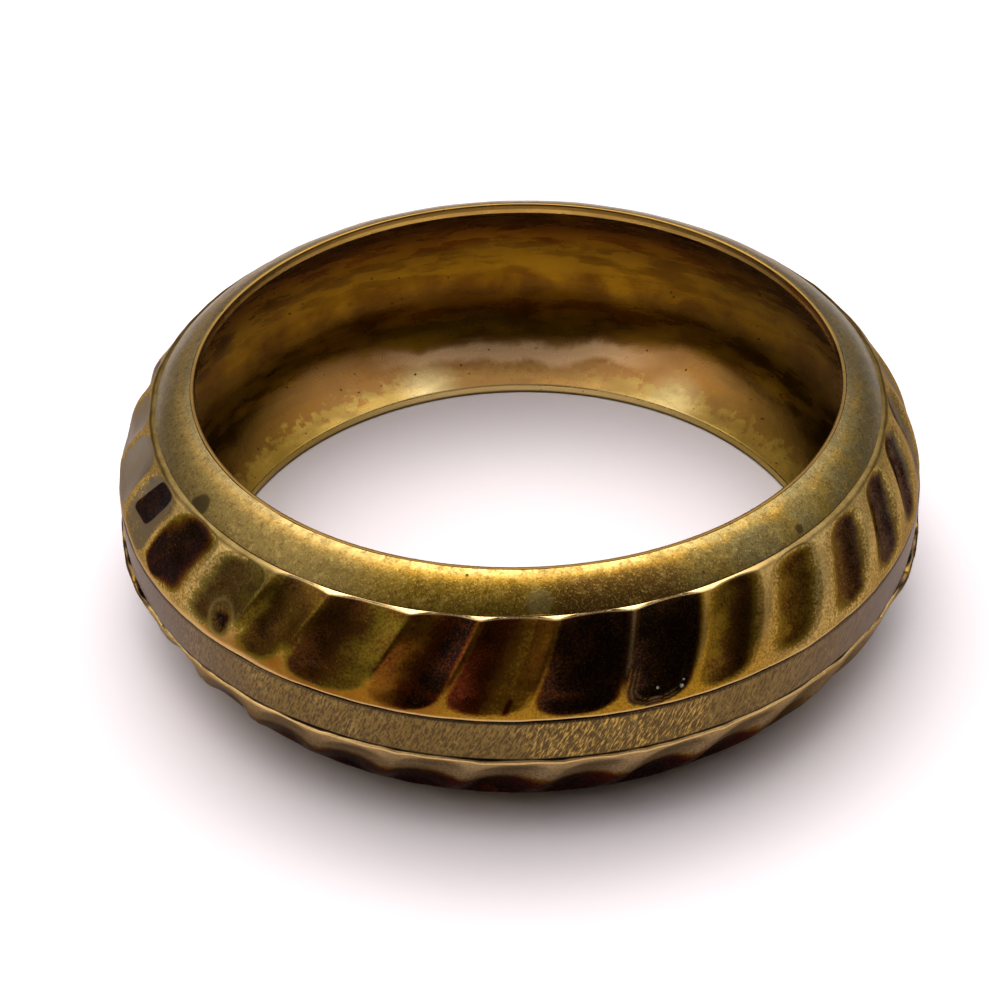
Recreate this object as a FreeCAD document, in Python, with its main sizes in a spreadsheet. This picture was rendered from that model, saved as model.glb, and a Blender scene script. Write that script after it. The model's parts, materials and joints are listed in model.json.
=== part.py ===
"""Slip-on bangle bracelet in brass, built up from rings on an inner liner.

Frame: millimetres, +Z up. The ring's axis is Z and it rests on its lower rim at z = 0.
Heights called "rise" are measured from the mid-plane, halfway up the ring.
Every ring is a sketch in the XZ plane (x is the radius) turned once round Z. The lower
collar, fluted band and solder rings are the upper ones turned over about X.
"""
import FreeCAD, Part
import math
import os
import Sketcher
from FreeCAD import Placement, Rotation, Vector

doc = FreeCAD.newDocument("bangle")

# ---------------------------------------------------------------- driving dimensions
DIMENSIONS = [
    ("inner_diameter", 63.5, "clear opening at both rims, a 2 1/2 inch bangle"),
    ("ring_width", 25.4, "height from rim to rim, 1 inch"),
    ("lip_height", 1.1, "straight part of the liner's lip at each rim"),
    ("lip_thickness", 0.4, "liner wall at the rim"),
    ("barrel_radius", 13.3, "hollow curve of the liner's wall, rim to rim"),
    ("liner_back_radius", 13.2, "outer curve of the liner, where the rings seat"),
    ("crown_radius", 14.04, "outer curve of the fluted bands"),
    ("belt_diameter", 80.56, "outside of the belt at its edges"),
    ("belt_width", 4.4, "belt from edge to edge"),
    ("belt_crown_radius", 25.0, "slight crown across the belt"),
    ("joint_gap", 0.12, "gap that each solder ring fills"),
    ("seam_diameter", 71.54, "lower edge of the collar"),
    ("seam_rise", 10.38, "seam between collar and fluted band, above the mid-plane"),
    ("ledge_width", 0.24, "fluted band stands this far outside the collar"),
    ("collar_radius", 6.7, "convex curve of the collar"),
    ("collar_drop", 0.06, "collar starts this far below the rim"),
    ("edge_round", 0.35, "rounded lower edge of the fluted bands"),
    ("belt_edge_round", 0.3, "rounded edges of the belt"),
    ("solder_recess", 0.35, "solder stops this far below the surface"),
    ("flute_count", 34, "scoops round each fluted band"),
    ("flute_depth", 0.9, "depth of a scoop at its middle"),
    ("flute_tool_radius", 5.5, "radius of the rounded cut across a scoop"),
    ("flute_start_angle", 24.9, "slope of the surface where the rounded end is centred"),
    ("flute_lean", 20.0, "lean of a scoop from upright"),
    ("flute_phase", 2.5, "turn of the upper band's scoops"),
    ("lower_phase", 3.5, "turn of the lower band's scoops"),
]
GROOVE_SWEEP = 50  # degrees along the crown, past the band's top edge

sheet = doc.addObject("Spreadsheet::Sheet", "Dimensions")
for row, (alias, number, meaning) in enumerate(DIMENSIONS, start=1):
    sheet.set(f"A{row}", alias)
    sheet.set(f"B{row}", str(number))
    sheet.set(f"C{row}", meaning)
    sheet.setAlias(f"B{row}", alias)
doc.recompute()


def cell(alias):
    """The way an expression names a cell."""
    return f"Dimensions.{alias}"


def number(expression):
    """An expression's value as a plain number."""
    value = sheet.evalExpression(expression)
    return float(getattr(value, "Value", value))


# ---------------------------------------------------------------- shared expressions
INNER = f"{cell('inner_diameter')} / 2"
WIDTH = cell("ring_width")
MID = f"{cell('ring_width')} / 2"
LIP_TOP = f"({WIDTH} - {cell('lip_height')})"
LIP_BACK = f"({INNER} + {cell('lip_thickness')})"
SEAM = f"{cell('seam_diameter')} / 2"
BELT = f"{cell('belt_diameter')} / 2"
BELT_HALF = f"{cell('belt_width')} / 2"
GAP = cell("joint_gap")
RECESS = cell("solder_recess")
ROUND = cell("edge_round")
BELT_ROUND = cell("belt_edge_round")


def circle_reach(radius, rise):
    """Half chord of a circle of this radius at this rise."""
    return f"sqrt(({radius})^2 - ({rise})^2)"


BACK = cell("liner_back_radius")
BACK_CENTRE = f"({LIP_BACK} - {circle_reach(BACK, MID + ' - ' + cell('lip_height'))})"


def liner_back(rise):
    """Radius of the liner's outer surface at a rise above the mid-plane."""
    return f"{BACK_CENTRE} + {circle_reach(BACK, rise)}"


def liner_back_rise(radius):
    """Rise at which the liner's outer surface has this radius."""
    return f"{circle_reach(BACK, f'({radius}) - {BACK_CENTRE}')}"


# ---------------------------------------------------------------- ring builder
def arc_centre(start, end, radius, inward):
    """Centre of an arc from start to end; inward puts it on the axis side."""
    middle = (start + end) / 2
    chord = end - start
    reach = math.sqrt(radius ** 2 - (chord.Length / 2) ** 2)
    normal = Vector(-chord.y, chord.x, 0).normalize()
    if (normal.x > 0) == inward:
        normal = -normal
    return middle + normal * reach


def bind(sketch, index, name, expression):
    """Name a constraint and drive it from the sheet."""
    sketch.renameConstraint(index, name)
    sketch.setExpression(f"Constraints.{name}", expression)


def origin_feature(body, role):
    """One of the body's own origin planes or axes."""
    return next(item for item in body.Origin.OriginFeatures if item.Role == role)


def ring_body(label, outline):
    """A body turned round Z from a closed outline.

    Each outline entry is (radius, height, curve): expressions for a corner, then the
    edge to the next corner, which is None for a straight one or (radius, inward).
    """
    body = doc.addObject("PartDesign::Body", label)
    body.Label = label
    sketch = body.newObject("Sketcher::SketchObject", label + "_outline")
    sketch.AttachmentSupport = (origin_feature(body, "XZ_Plane"), [""])
    sketch.MapMode = "FlatFace"

    corners = [Vector(number(radius), number(height), 0) for radius, height, _ in outline]
    joints = []
    for index, (_, _, curve) in enumerate(outline):
        start = corners[index]
        end = corners[(index + 1) % len(corners)]
        if curve is None:
            edge = sketch.addGeometry(Part.LineSegment(start, end), False)
            joints.append((edge, 1, 2))
            continue
        radius = number(curve[0])
        centre = arc_centre(start, end, radius, curve[1])
        first = math.atan2(start.y - centre.y, start.x - centre.x)
        last = math.atan2(end.y - centre.y, end.x - centre.x)
        forwards = (last - first) % (2 * math.pi) < math.pi
        angles = (first, last) if forwards else (last, first)
        circle = Part.Circle(centre, Vector(0, 0, 1), radius)
        edge = sketch.addGeometry(Part.ArcOfCircle(circle, *angles), False)
        joints.append((edge, 1, 2) if forwards else (edge, 2, 1))

    for index, (edge, start_point, end_point) in enumerate(joints):
        following, next_start, _ = joints[(index + 1) % len(joints)]
        sketch.addConstraint(
            Sketcher.Constraint("Coincident", edge, end_point, following, next_start))
    for index, (radius, height, curve) in enumerate(outline):
        edge, start_point, _ = joints[index]
        corner = corners[index]
        across = sketch.addConstraint(
            Sketcher.Constraint("DistanceX", -1, 1, edge, start_point, corner.x))
        bind(sketch, across, f"radius_{index}", radius)
        up = sketch.addConstraint(
            Sketcher.Constraint("DistanceY", -1, 1, edge, start_point, corner.y))
        bind(sketch, up, f"height_{index}", height)
        if curve is not None:
            bend = sketch.addConstraint(
                Sketcher.Constraint("Radius", edge, number(curve[0])))
            bind(sketch, bend, f"curve_{index}", curve[0])

    turn = body.newObject("PartDesign::Revolution", label + "_turned")
    turn.Profile = sketch
    turn.ReferenceAxis = (sketch, ["V_Axis"])
    turn.Angle = 360
    sketch.Visibility = False
    return body


def turn_over(body, turn_angle=0.0):
    """Turn a body upside down about X so that it serves at the lower rim."""
    flip = Rotation(Vector(1, 0, 0), 180)
    spin = Rotation(Vector(0, 0, 1), turn_angle)
    body.Placement = Placement(Vector(0, 0, 0), spin.multiply(flip))
    body.setExpression("Placement.Base.z", WIDTH)


def both_ends(name, build):
    """Make the upper piece and the lower one from the same drawing."""
    upper = build("upper_" + name)
    lower = build("lower_" + name)
    turn_over(lower)
    return upper, lower


# ---------------------------------------------------------------- the pieces
def inner_liner():
    """Smooth sleeve: a lip at each rim and a barrel-shaped hollow between them."""
    barrel = (cell("barrel_radius"), True)
    back = (BACK, True)
    return ring_body("inner_liner", [
        (INNER, "0", None),
        (LIP_BACK, "0", None),
        (LIP_BACK, cell("lip_height"), back),
        (LIP_BACK, LIP_TOP, None),
        (LIP_BACK, WIDTH, None),
        (INNER, WIDTH, None),
        (INNER, LIP_TOP, barrel),
        (INNER, cell("lip_height"), None),
    ])


def collar(label):
    """Convex ring between the rim and the fluted band, seated on the liner."""
    inside = f"{LIP_BACK} + {GAP}"
    seat_rise = f"({cell('seam_rise')} + {GAP} / 2)"
    return ring_body(label, [
        (SEAM, f"{MID} + {seat_rise}", (cell("collar_radius"), True)),
        (inside, f"{WIDTH} - {cell('collar_drop')}", None),
        (inside, f"{MID} + {liner_back_rise(inside)}", (BACK, True)),
        (liner_back(seat_rise), f"{MID} + {seat_rise}", None),
    ])


def fluted_band(label):
    """Domed ring with leaning scoops cut through its top edge."""
    top_rise = f"({cell('seam_rise')} - {GAP} / 2)"
    foot_rise = f"({BELT_HALF} + {GAP})"
    body = ring_body(label, [
        (f"{BELT} - {ROUND}", f"{MID} + {foot_rise}", (ROUND, True)),
        (BELT, f"{MID} + {foot_rise} + {ROUND}", (cell("crown_radius"), True)),
        (f"{SEAM} + {cell('ledge_width')}", f"{MID} + {top_rise}", None),
        (liner_back(top_rise), f"{MID} + {top_rise}", (BACK, True)),
        (liner_back(foot_rise), f"{MID} + {foot_rise}", None),
    ])
    cut_flutes(body)
    return body


def cut_flutes(body):
    """Scoops: a round cut follows the crown, ends in a ball above the belt, and repeats."""
    doc.recompute()
    crown = number(cell("crown_radius"))
    foot = Vector(number(BELT), number(f"{BELT_HALF} + {GAP} + {ROUND}"), 0)
    ledge = Vector(number(f"{SEAM} + {cell('ledge_width')}"),
                   number(f"{cell('seam_rise')} - {GAP} / 2"), 0)
    centre = arc_centre(foot, ledge, crown, True)
    crown_centre = Vector(centre.x, 0, number(MID) + centre.y)

    start = math.radians(number(cell("flute_start_angle")))
    ledge_angle = math.atan2(ledge.y - centre.y, ledge.x - centre.x)
    middle = (start + ledge_angle) / 2
    middle_normal = Vector(math.cos(middle), 0, math.sin(middle))
    lean = Rotation(middle_normal, -number(cell("flute_lean")))
    aim = Rotation(Vector(math.cos(start), 0, math.sin(start)),
                   Vector(-math.sin(start), 0, math.cos(start)), Vector(0, -1, 0), "ZXY")
    swing = lean.multiply(aim)
    path_radius = crown - number(cell("flute_depth")) + number(cell("flute_tool_radius"))

    ball_centre = crown_centre + swing.multVec(Vector(path_radius, 0, 0))

    groove = cutter(body, "SubtractiveTorus", "groove", Placement(crown_centre, swing))
    groove.Radius1 = path_radius
    groove.Angle3 = GROOVE_SWEEP
    groove.setExpression("Radius2", cell("flute_tool_radius"))
    repeat_round(body, groove)
    ball = cutter(body, "SubtractiveSphere", "end", Placement(ball_centre, Rotation()))
    ball.setExpression("Radius", cell("flute_tool_radius"))
    repeat_round(body, ball)


def cutter(body, kind, name, placement):
    """A round cutter held at a placement in the body's own frame."""
    tool = body.newObject("PartDesign::" + kind, f"{body.Label}_{name}")
    tool.AttachmentSupport = (origin_feature(body, "XY_Plane"), [""])
    tool.MapMode = "FlatFace"
    tool.AttachmentOffset = placement
    return tool


def repeat_round(body, tool):
    """Repeat the newest cut once per scoop and confirm that every copy removes metal."""
    doc.recompute()
    before = tool.BaseFeature.Shape.Volume
    single = before - tool.Shape.Volume
    pattern = body.newObject("PartDesign::PolarPattern", tool.Label + "_pattern")
    pattern.Originals = [tool]
    pattern.Axis = (origin_feature(body, "Z_Axis"), [""])
    pattern.Angle = 360
    pattern.setExpression("Occurrences", cell("flute_count"))
    body.Tip = pattern
    doc.recompute()
    removed = before - pattern.Shape.Volume
    if abs(removed / single - number(cell("flute_count"))) > 0.1:
        raise RuntimeError(f"{pattern.Label} removed {removed:.1f} mm3, {single:.1f} each")


def centre_belt():
    """Plain belt between the fluted bands, slightly crowned across its width."""
    low = f"({MID} - {BELT_HALF})"
    high = f"({MID} + {BELT_HALF})"
    inside = liner_back(BELT_HALF)
    return ring_body("centre_belt", [
        (inside, low, None),
        (f"{BELT} - {BELT_ROUND}", low, (BELT_ROUND, True)),
        (BELT, f"{low} + {BELT_ROUND}", (cell("belt_crown_radius"), True)),
        (BELT, f"{high} - {BELT_ROUND}", (BELT_ROUND, True)),
        (f"{BELT} - {BELT_ROUND}", high, None),
        (inside, high, (BACK, True)),
    ])


def rim_solder(label):
    """Filler between the liner's lip and the collar."""
    outside = f"{LIP_BACK} + {GAP}"
    top = f"{WIDTH} - {RECESS}"
    return ring_body(label, [
        (LIP_BACK, f"{MID} + {liner_back_rise(LIP_BACK)}", (BACK, True)),
        (outside, f"{MID} + {liner_back_rise(outside)}", None),
        (outside, top, None),
        (LIP_BACK, top, None),
    ])


def seam_solder(label):
    """Filler between the collar and the top face of the fluted band."""
    low = f"({cell('seam_rise')} - {GAP} / 2)"
    high = f"({cell('seam_rise')} + {GAP} / 2)"
    outside = f"{SEAM} - {RECESS}"
    return ring_body(label, [
        (liner_back(low), f"{MID} + {low}", None),
        (outside, f"{MID} + {low}", None),
        (outside, f"{MID} + {high}", None),
        (liner_back(high), f"{MID} + {high}", (BACK, True)),
    ])


def belt_solder(label):
    """Filler between the belt and a fluted band."""
    low = BELT_HALF
    high = f"({BELT_HALF} + {GAP})"
    outside = f"{BELT} - {ROUND} - {RECESS}"
    return ring_body(label, [
        (liner_back(low), f"{MID} + {low}", None),
        (outside, f"{MID} + {low}", None),
        (outside, f"{MID} + {high}", None),
        (liner_back(high), f"{MID} + {high}", (BACK, True)),
    ])


pieces = [inner_liner(), centre_belt()]
for name, build in (("collar", collar), ("fluted_band", fluted_band),
                    ("rim_solder", rim_solder), ("seam_solder", seam_solder),
                    ("belt_solder", belt_solder)):
    pieces.extend(both_ends(name, build))

by_label = {piece.Label: piece for piece in pieces}
by_label["upper_fluted_band"].Placement.Rotation = Rotation(
    Vector(0, 0, 1), -90 - number(cell("flute_phase")))
turn_over(by_label["lower_fluted_band"], -90 - number(cell("lower_phase")))
doc.recompute()

# ---------------------------------------------------------------- checks and export
for item in doc.Objects:
    if "Invalid" in item.State or "Error" in item.State:
        raise RuntimeError(f"{item.Label} failed: {item.State}")
os.makedirs("parts", exist_ok=True)
for piece in pieces:
    shape = piece.Shape
    if shape.isNull() or not shape.isValid():
        raise RuntimeError(f"{piece.Label} has no valid shape")
    if len(shape.Solids) != 1:
        raise RuntimeError(f"{piece.Label} is {len(shape.Solids)} solids")
    shape.exportStep(f"parts/{piece.Label}.step")
    print(f"{piece.Label}: {shape.Volume:.1f} mm3, box {shape.BoundBox}")
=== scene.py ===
"""Looks for the bangle: an old brass slip-on bangle with fluted bands, on a white floor.

The six brass rings are closed surfaces turned round Z from their own cross-sections, then
pushed in and out by formulas for the scoops, dents and hand-made unevenness. The solder in
the seams is the CAD's own.
Angles are in degrees round the ring: 0 is the front (-Y) and they grow towards +X.
Lengths are in millimetres until a mesh is made; "rise" is height above the mid-plane.
"""
import json
import math

import bpy
import numpy as np
from mathutils import Matrix, Quaternion, Vector


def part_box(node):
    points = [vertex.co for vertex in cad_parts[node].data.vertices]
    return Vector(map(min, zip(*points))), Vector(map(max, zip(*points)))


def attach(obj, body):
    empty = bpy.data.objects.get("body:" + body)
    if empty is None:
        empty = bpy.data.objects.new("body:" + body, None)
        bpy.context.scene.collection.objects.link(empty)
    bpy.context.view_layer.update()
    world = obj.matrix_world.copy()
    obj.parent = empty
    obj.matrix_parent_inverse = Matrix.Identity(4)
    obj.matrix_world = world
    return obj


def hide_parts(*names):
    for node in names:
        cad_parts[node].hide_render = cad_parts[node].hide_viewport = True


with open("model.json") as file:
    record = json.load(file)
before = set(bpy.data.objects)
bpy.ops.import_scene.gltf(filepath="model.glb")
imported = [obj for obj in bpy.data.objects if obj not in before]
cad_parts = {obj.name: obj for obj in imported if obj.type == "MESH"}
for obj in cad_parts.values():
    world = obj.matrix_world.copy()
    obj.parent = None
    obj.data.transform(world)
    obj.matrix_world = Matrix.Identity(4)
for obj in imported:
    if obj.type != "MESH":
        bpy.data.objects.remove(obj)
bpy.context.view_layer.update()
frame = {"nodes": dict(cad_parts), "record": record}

MM = 0.001

# ------------------------------------------------------------------ sizes
mounts = {mount["name"]: mount for mount in frame["record"]["mounts"]}
INNER = mounts["wrist_opening"]["dims"]["r_mm"]


def box_mm(node):
    """Lowest and highest corner of a CAD node in millimetres."""
    low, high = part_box(node)
    return Vector(low) / MM, Vector(high) / MM


# Read from the frame's boxes: heights, and the radii of outer edges.
WIDTH = box_mm("inner_liner")[1].z
MID = WIDTH / 2
BELT_EDGE = box_mm("centre_belt")[1].x
BELT_HALF = box_mm("centre_belt")[1].z - MID
BAND_FOOT = box_mm("upper_fluted_band")[0].z - MID
BAND_TOP = box_mm("upper_fluted_band")[1].z - MID
SEAM = box_mm("upper_collar")[1].x
SEAM_RISE = box_mm("upper_collar")[0].z - MID
# The same as in the CAD, where a box can't show them.
LIP_BACK = 32.15        # radius of the liner's outside at its lips
LIP_HEIGHT = 1.1
BARREL_RADIUS = 13.3    # curve of the liner's hollow
BACK_RADIUS = 13.2      # curve of the liner's outside, where the rings sit
COLLAR_RADIUS = 6.7     # curve of the collars
CROWN_RADIUS = 14.04    # curve of the fluted bands
BELT_CROWN = 25.0       # curve across the belt
# Only for looks.
LEDGE = 0.44            # how far the fluted bands stand out from the collars
BAND_BACK_FOOT = 39.0   # radii of the hidden faces
BAND_BACK_TOP = 34.25
COLLAR_BACK = 34.2
BELT_BACK = 38.85
COLLAR_BACK_RISE = 11.5
OUTER_MEAN = 38         # about the mean radius of the outside
BAND_MEAN = 39          # and of a fluted band


# ------------------------------------------------------------------ cross-sections
def arc_centre(start, end, radius):
    """Centre, on the axis side, of an arc from start to end."""
    start, end = np.array(start, float), np.array(end, float)
    chord = end - start
    length = np.hypot(*chord)
    normal = np.array([-chord[1], chord[0]]) / length
    if normal[0] > 0:
        normal = -normal
    return (start + end) / 2 + normal * math.sqrt(radius ** 2 - length ** 2 / 4)


def arc_points(start, end, radius, count):
    """Points on an arc from start to end whose centre is on the axis side."""
    centre = arc_centre(start, end, radius)
    first = math.atan2(*(start - centre)[::-1])
    last = math.atan2(*(end - centre)[::-1])
    angles = np.linspace(first, last, count)
    return centre + radius * np.column_stack([np.cos(angles), np.sin(angles)])


def line_points(start, end, count):
    """Evenly spaced points on a straight edge."""
    steps = np.linspace(0, 1, count)[:, None]
    return np.array(start) * (1 - steps) + np.array(end) * steps


def section(edges, rounding):
    """Join edges into one closed loop and round the corner after each edge.

    rounding[i] is the reach of the round between edge i and the next one.
    """
    trimmed = []
    for index, points in enumerate(edges):
        travelled = np.concatenate([[0], np.cumsum(np.hypot(*np.diff(points, axis=0).T))])
        low, high = rounding[index - 1], travelled[-1] - rounding[index]
        inside = travelled[(travelled > low + 1e-6) & (travelled < high - 1e-6)]
        at = np.concatenate([[low], inside, [high]])
        trimmed.append(np.column_stack([np.interp(at, travelled, points[:, k]) for k in (0, 1)]))
    loop = []
    for index, points in enumerate(trimmed):
        following = trimmed[(index + 1) % len(trimmed)]
        corner = edges[index][-1]
        loop.append(points)
        if rounding[index] > 0:
            t = np.linspace(0, 1, 7)[1:-1, None]
            loop.append((1 - t) ** 2 * points[-1] + 2 * t * (1 - t) * corner + t ** 2 * following[0])
    loop = np.vstack(loop)
    keep = np.hypot(*(loop - np.roll(loop, 1, axis=0)).T) > 1e-4
    return loop[keep]


def signed_area(loop):
    """Twice the area of a closed loop, below 0 where it runs clockwise."""
    ahead = np.roll(loop, -1, axis=0)
    return np.sum(loop[:, 0] * ahead[:, 1] - ahead[:, 0] * loop[:, 1])


def outward(loop):
    """Unit normals of a closed loop, pointing out of the metal."""
    tangent = np.roll(loop, -1, axis=0) - np.roll(loop, 1, axis=0)
    tangent /= np.hypot(*tangent.T)[:, None]
    normal = np.column_stack([tangent[:, 1], -tangent[:, 0]])
    return normal if signed_area(loop) > 0 else -normal


# ------------------------------------------------------------------ unevenness
def waves(theta, height, size, longest, count, seed):
    """Smooth seeded unevenness of about the given size in mm, seamless round the ring."""
    draw = np.random.default_rng(seed)
    total = np.zeros_like(theta)
    for _ in range(count):
        wavelength = longest * draw.uniform(0.35, 1.0)
        turns = round(2 * math.pi * OUTER_MEAN / wavelength * draw.uniform(-1, 1))
        climb = 2 * math.pi / wavelength * draw.uniform(-1, 1)
        total += np.sin(turns * np.radians(theta) + climb * height + draw.uniform(0, 2 * math.pi))
    return total * size / math.sqrt(count / 2)


def smooth(edge0, edge1, x):
    """Smooth step from 0 at edge0 to 1 at edge1."""
    t = np.clip((x - edge0) / (edge1 - edge0), 0, 1)
    return t * t * (3 - 2 * t)


# ------------------------------------------------------------------ mesh from a section
def ring(name, loop, columns, shift=None, masks=None):
    """Closed ring from a section. shift(theta, r, z, normal) gives the move of each point in
    r and z in mm, and masks(theta, r, z) gives named values from 0 to 1 for the material."""
    rows = len(loop)
    normal = outward(loop)
    theta = np.linspace(-180, 180, columns, endpoint=False)
    theta_grid, r_grid = np.meshgrid(theta, loop[:, 0], indexing="ij")
    z_grid = np.broadcast_to(loop[:, 1], theta_grid.shape).copy()
    move_r, move_z = shift(theta_grid, r_grid, z_grid, normal) if shift else (0, 0)
    r, z = r_grid + move_r, z_grid + move_z
    angle = np.radians(theta_grid)
    points = np.stack([r * np.sin(angle), -r * np.cos(angle), z], axis=-1).reshape(-1, 3) * MM

    column = np.arange(columns)[:, None]
    row = np.arange(rows)[None, :]
    here = column * rows + row
    right = (column + 1) % columns * rows + row
    right_up = (column + 1) % columns * rows + (row + 1) % rows
    up = column * rows + (row + 1) % rows
    quads = np.stack(np.broadcast_arrays(here, right, right_up, up), axis=-1).reshape(-1, 4)
    if signed_area(loop) < 0:
        quads = quads[:, ::-1]

    mesh = bpy.data.meshes.new(name)
    mesh.vertices.add(len(points))
    mesh.vertices.foreach_set("co", points.ravel())
    mesh.loops.add(quads.size)
    mesh.loops.foreach_set("vertex_index", quads.ravel().astype(np.int32))
    mesh.polygons.add(len(quads))
    mesh.polygons.foreach_set("loop_start", np.arange(0, quads.size, 4, dtype=np.int32))
    mesh.update(calc_edges=True)
    mesh.shade_smooth()
    for mask, values in (masks(theta_grid, r_grid, z_grid) if masks else {}).items():
        layer = mesh.attributes.new(mask, "FLOAT", "POINT")
        layer.data.foreach_set("value", values.ravel().astype(np.float32))
    piece = bpy.data.objects.new(name, mesh)
    bpy.context.scene.collection.objects.link(piece)
    return piece


def flip(loop):
    """The same section turned over, for the lower half."""
    return np.column_stack([loop[:, 0], WIDTH - loop[:, 1]])


# ------------------------------------------------------------------ fluted bands
# Scoops and crests are numbered round the ring, and scoop k lies between crests k and k + 1.
FLUTES = 34
HALF = FLUTES // 2
PITCH = 360 / FLUTES
# Where crest 0 ends, at the side of the band away from the belt.
FIRST_CREST = 4.9
LOWER_FIRST = -0.4
# How far single crests near the front stray from even spacing, by their number.
CREST_STRAY = {-7: 0.2, -6: 0.6, -5: 1.4, -4: 1.1, -3: -0.3, -2: 1.4, -1: 0.4, 0: 0.1, 1: 0.1, 2: 0.1,
               3: -0.4, 4: 0.3, 5: 1.0, 6: 1.3, 7: 1.4, 8: 1.2, 9: 0.8, 10: 0.4}
# Plain metal left at each side of a scoop, for the scoops near the front.
SCOOP_LAND = {-9: 0.26, -8: 0.24, -7: 0.24, -6: 0.12, -5: 0.18, -4: 0.10, -3: 0.10, -2: 0.05, -1: 0.06,
              0: 0.03, 1: 0.10, 2: 0.34, 3: 0.50, 4: 0.60, 5: 0.70, 6: 0.70, 7: 0.65}
# Plain metal left above a scoop; the scoops in front run out through the ledge.
SCOOP_CAP = {-9: 0.1, -8: 0.1, -7: 0.1, -6: -0.3, -5: 0.0, -4: -3, -3: -3, -2: -3, -1: -3, 0: -3, 1: -3,
             2: -0.6, 3: -0.1, 4: 0.1, 5: 0.1, 6: 0.1, 7: 0.1, 8: 0.1}
# How stained the crests near the front are, by their number, and the rest.
CREST_STAIN = {-5: 0.15, -4: 0.58, -3: 0.66, -2: 0.52, -1: 0.50, 0: 0.44, 1: 0.85, 2: 0.16}
OTHER_STAIN = 0.12
# How many degrees further round a crest's far end is than its foot: most, then some in front.
CREST_LEAN = 5.6
CREST_LEANS = {-3: 6.4, -2: 6.3, -1: 6.0, 0: 4.9, 1: 3.9, 2: 5.4}
LOW_END = 1.9       # height of a scoop's rounded lower end
TOP_END = 1.7       # height of its rounded upper end, where it has one
ROUNDNESS = 2.2     # power of a scoop's outline: 2 is an oval, and more is squarer
ACROSS_LEAN = math.cos(math.radians(20))    # a leaning scoop's width, against its share of the ring
FLUTE_DEPTH = 0.85
BAND_EDGE = (BELT_EDGE - 0.03, MID + BAND_FOOT)
BAND_LEDGE = (SEAM + LEDGE, MID + BAND_TOP)
CROWN_CENTRE = arc_centre(BAND_EDGE, BAND_LEDGE, CROWN_RADIUS)
UNDER_COLLAR = 0.04     # how far the band's top face drops on its way under the collar
SKIN = (13.0, 13.5)     # from the crown's centre: up to the first is the back, past the second outside
# Marks at the left and in front: angle, and distance up the band.
DENT = (-43, 2.6)
DENT_STAIN = (-43.4, 2.3)
DENT_RING = 1.75        # radius of the worn ring round the dent
PLATE = (-64.0, 5.9)    # middle of a dark patch like a small plate
PLATE_HALF = 2.6        # its half size, in degrees round the ring and in mm up the band
PLATE_SLANT = 0.28      # degrees further round for each mm up
PLATE_POWER = 5         # of its outline: 2 is an oval, and more is squarer
SLIT = (-2.0, 1.2)


def crown_angle(r, z):
    """Angle of a point about the middle of the crown's arc."""
    return np.arctan2(z - CROWN_CENTRE[1], np.maximum(r - CROWN_CENTRE[0], 1))


def band_along(r, z):
    """Distance up the crown from the band's foot, in mm."""
    angle = crown_angle(r, np.clip(z, BAND_EDGE[1], BAND_LEDGE[1]))
    return np.maximum(angle - crown_angle(*BAND_EDGE), 0) * CROWN_RADIUS


BAND_LENGTH = float(band_along(*BAND_LEDGE))


def flute_field(theta, along, first, follows_photo, seed, start):
    """Scoops at a point: dish depth from 0 to 1, reach (0 in a scoop's middle and 1 at its
    edge), the side from -1 at its left crest to 1 at its right, and its number.

    theta runs towards +X and along is the distance up the band from its foot. Crests
    lean so that their tops are further round than their feet. Where the band follows the
    photo, the scoops near the front have their own places and sizes.
    """
    draw = np.random.default_rng(seed)
    number = np.arange(-HALF, HALF)
    stray, own_land, own_cap, own_lean = {}, {}, {}, {}
    if follows_photo:
        stray, own_land, own_cap, own_lean = CREST_STRAY, SCOOP_LAND, SCOOP_CAP, CREST_LEANS
    crest = np.array([first + PITCH * k + stray.get(k, 0.0) for k in number])
    depth = draw.uniform(0.88, 1.05, FLUTES)
    land = draw.uniform(0.25, 0.60, FLUTES)
    cap = draw.uniform(0.1, 0.7, FLUTES)
    low = start + draw.uniform(-0.2, 0.2, FLUTES)
    land = np.array([own_land.get(k, value) for k, value in zip(number, land)])
    cap = np.array([own_cap.get(k, value) for k, value in zip(number, cap)])

    # A crest's lean depends on its number, and its number on the lean, so they settle in turns.
    leans = np.array([own_lean.get(k, CREST_LEAN) for k in range(-HALF, HALF + 1)])
    edges = np.append(crest, crest[0] + 360)
    lean = CREST_LEAN
    for _ in range(3):
        turned = (theta + lean * (1 - along / BAND_LENGTH) - crest[0]) % 360 + crest[0]
        place = np.interp(turned, edges, np.arange(FLUTES + 1))
        lean = np.interp(place, np.arange(FLUTES + 1), leans)
    index = np.clip(place.astype(int), 0, FLUTES - 1)
    side = 2 * (place - index) - 1

    # The band narrows towards its top, and its scoops with it.
    radius = 40.2 - 4.0 * smooth(3.0, BAND_LENGTH + 1.5, along)
    width = np.radians(np.diff(edges)[index]) * radius * ACROSS_LEAN
    wide = width / 2 / (width / 2 - land[index])
    below = np.minimum(along - low[index] - LOW_END, 0) / LOW_END
    above = np.maximum(along - (BAND_LENGTH - cap[index] - TOP_END), 0) / TOP_END
    outline = np.abs(side * wide) ** ROUNDNESS + np.abs(below) ** ROUNDNESS + above ** ROUNDNESS
    reach = outline ** (1 / ROUNDNESS)
    deepening = smooth(low[index] - 3.0, 7.0, along) - 0.48 * smooth(4.5, BAND_LENGTH, along)
    dish = np.clip(1 - reach ** 2, 0, 1) ** 1.2 * deepening
    return dish * depth[index], reach, side, number[index]


def upper_field(theta, r, z):
    """Distance up the upper band, and the scoops there."""
    along = band_along(r, z)
    return along, *flute_field(theta, along, FIRST_CREST, True, 11, 0.50)


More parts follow.
